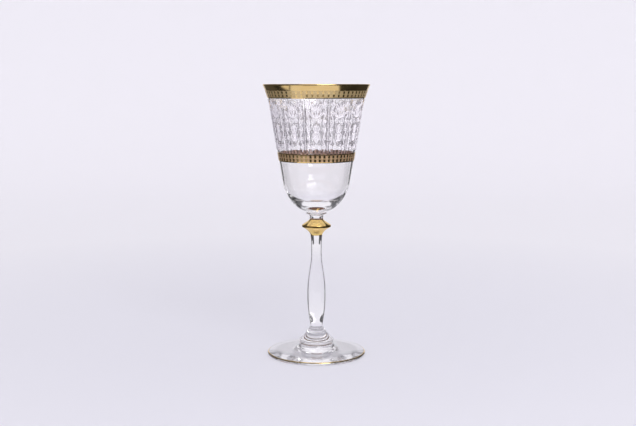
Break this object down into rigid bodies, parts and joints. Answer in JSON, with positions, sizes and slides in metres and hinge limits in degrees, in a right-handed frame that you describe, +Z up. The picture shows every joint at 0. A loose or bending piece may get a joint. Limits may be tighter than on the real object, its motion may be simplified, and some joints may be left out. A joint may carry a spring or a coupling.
{
  "type": "wine glass",
  "caption": "White wine glass with a gilded rim and waist band, an etched lace frieze, a gilt knop and a baluster stem on a round foot",
  "frame": {"origin": "Centre of the flat ring that the glass stands on, on the axis of the glass", "axes": "+Z up along the axis of the glass, from the foot to the rim; +X to the right and -Y towards the viewer in the picture, although the glass is round and has no front"},
  "size_m": [0.0744, 0.0744, 0.19],
  "materials": {
    "crystal": "clear, polished",
    "gilding": "fired gold, polished"
  },
  "bodies": {
    "root": {"foot": "crystal", "foot_gilt_line": "gilding", "foot_collar": "crystal", "stem": "crystal", "knop": "crystal", "knop_gilding": "gilding", "neck": "crystal", "merese": "crystal", "bowl": "crystal", "waist_gilding": "gilding", "rim_gilding": "gilding"}
  },
  "joints": []
}
